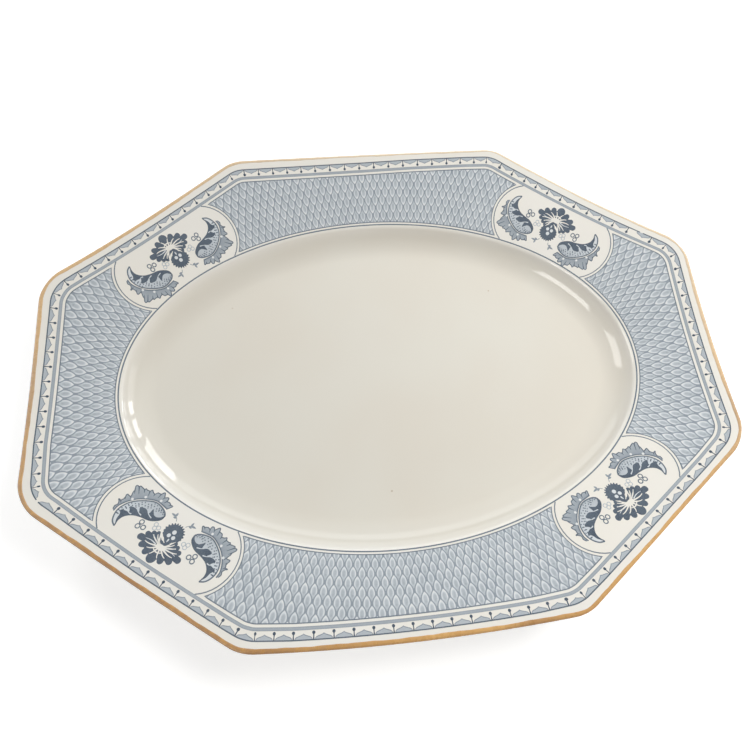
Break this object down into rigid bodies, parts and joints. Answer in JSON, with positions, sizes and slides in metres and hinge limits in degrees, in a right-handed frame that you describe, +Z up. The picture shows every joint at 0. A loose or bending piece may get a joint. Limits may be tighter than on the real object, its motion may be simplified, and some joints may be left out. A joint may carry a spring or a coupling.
{
  "type": "serving platter",
  "caption": "Elongated eight-sided serving platter with an oval well, a rim that rises to its corners, an oval foot ring, a printed blue border with flower cartouches and an ochre lip line.",
  "frame": {"origin": "centre of the platter in plan, on the plane its foot ring stands on", "axes": "+X along the platter's length, +Z up out of the well, -Y towards the side nearest the viewer in the picture"},
  "size_m": [0.3544, 0.2624, 0.0359],
  "materials": {
    "glazed_earthenware": "gloss",
    "ochre_enamel": "gloss",
    "blue_line_print": "gloss",
    "blue_scale_print": "gloss",
    "flower_print": "gloss"
  },
  "bodies": {
    "root": {"platter_body": "glazed_earthenware", "lip_line": "ochre_enamel", "border_back_left": "blue_line_print", "border_front_right": "blue_line_print", "band_back_left": "blue_line_print", "band_front_right": "blue_line_print", "well_line_back_left": "blue_line_print", "well_line_front_right": "blue_line_print", "scale_panel_back": "blue_scale_print", "scale_panel_left": "blue_scale_print", "scale_panel_front": "blue_scale_print", "scale_panel_right": "blue_scale_print", "cartouche_back_right": "flower_print", "cartouche_back_left": "flower_print", "cartouche_front_left": "flower_print", "cartouche_front_right": "flower_print"}
  },
  "joints": []
}
